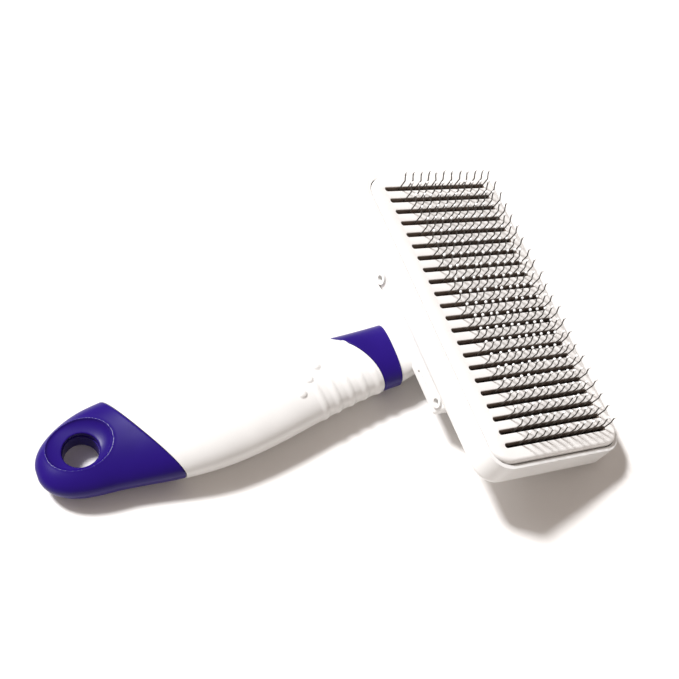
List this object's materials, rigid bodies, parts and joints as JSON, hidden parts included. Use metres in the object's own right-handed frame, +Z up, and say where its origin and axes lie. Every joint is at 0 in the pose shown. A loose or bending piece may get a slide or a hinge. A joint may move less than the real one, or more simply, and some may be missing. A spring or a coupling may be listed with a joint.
{
  "type": "self-cleaning slicker brush",
  "caption": "Pet slicker brush: long T-shaped head of bent wires with ball tips in a slotted plate that a back push button lifts, on a handle with a hang hole.",
  "frame": {"origin": "on the table under the middle of the brush's box, as the brush lies on its back", "axes": "+X along the handle from the end cap to the head, +Y along the head, +Z up, the wires pointing up and leaning with the head"},
  "size_m": [0.1959, 0.121, 0.0407],
  "materials": {
    "white_abs": "satin white ABS, fine moulded texture",
    "plate_white": "satin white ABS face plate",
    "purple": "smooth deep purple soft-touch plastic with a satin gloss",
    "wire": "fine drawn stainless wire",
    "tip": "white epoxy bead",
    "pad": "dark brown rubber cushion",
    "board": "dark moulded board",
    "screw": "zinc plated steel",
    "spring": "spring steel"
  },
  "bodies": {
    "brush_body": {"back_shell": "white_abs", "backing_plate": "board", "base_board": "board", "base_pad": "pad", "base_screws": "screw", "end_cap": "purple", "handle_base_cover": "white_abs", "handle_body": "white_abs", "handle_screws": "screw", "hang_hole_ring": "white_abs", "neck_yoke": "white_abs", "return_spring_1": "spring", "return_spring_2": "spring", "return_spring_3": "spring", "spring_washers": "screw", "thumb_collar": "purple", "wire_row_01": "wire", "wire_row_02": "wire", "wire_row_03": "wire", "wire_row_04": "wire", "wire_row_05": "wire", "wire_row_06": "wire", "wire_row_07": "wire", "wire_row_08": "wire", "wire_row_09": "wire", "wire_row_10": "wire", "wire_row_11": "wire", "wire_row_12": "wire", "wire_row_13": "wire", "wire_row_14": "wire", "wire_row_15": "wire", "wire_row_16": "wire", "wire_row_17": "wire", "wire_row_18": "wire", "wire_row_19": "wire", "wire_row_20": "wire", "wire_row_21": "wire", "wire_row_22": "wire", "wire_tips": "tip", "yoke_screws": "screw"},
    "cleaning_slide": {"cleaning_plate": "plate_white", "push_button": "purple", "lifter_stems": "spring"}
  },
  "joints": [
    {"name": "plate_slide", "type": "slide", "parent": "brush_body", "child": "cleaning_slide", "axis": [0.3746, 0, 0.9272], "range_m": [0, 0.0075], "stiffness_N_per_m": 400, "springref_m": -0.003, "deforming": ["return_spring_1", "return_spring_2", "return_spring_3"]}
  ]
}
